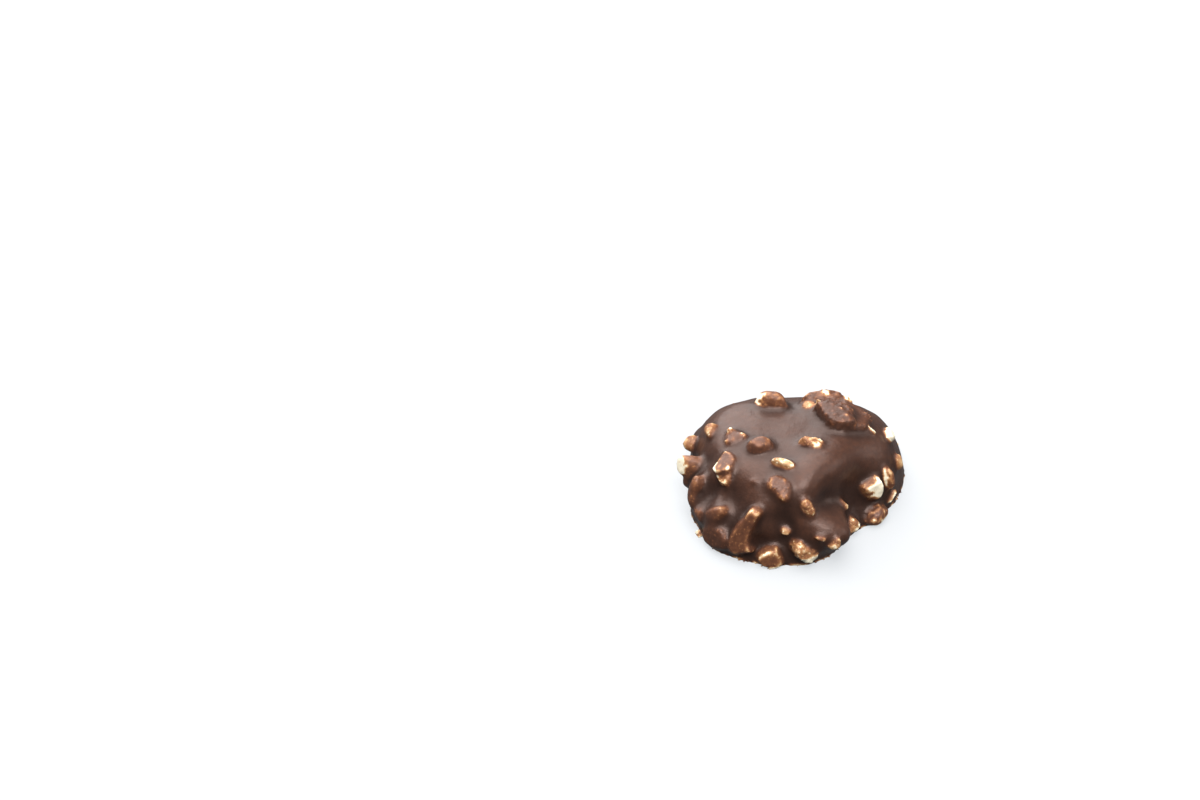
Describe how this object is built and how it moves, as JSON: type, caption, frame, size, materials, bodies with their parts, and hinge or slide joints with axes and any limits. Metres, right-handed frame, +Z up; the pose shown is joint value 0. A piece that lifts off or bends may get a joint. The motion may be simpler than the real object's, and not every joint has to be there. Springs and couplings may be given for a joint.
{
  "type": "chocolate almond gingerbread",
  "caption": "Bite-sized domed gingerbread biscuit in a chocolate coat with chopped almonds standing out of it, on a flat foot.",
  "frame": {"origin": "under the middle of the biscuit's extents, on the plane that its flat foot stands on", "axes": "+Z up; the side that the picture shows faces -Y, and the raised ridge of almonds is towards +X and +Y"},
  "size_m": [0.0506, 0.0502, 0.0218],
  "materials": {
    "chocolate_coat": "satin chocolate, with thinly coated almond pieces in reddish brown and bare broken faces in cream"
  },
  "bodies": {
    "root": {"gingerbread": "chocolate_coat"}
  },
  "joints": []
}
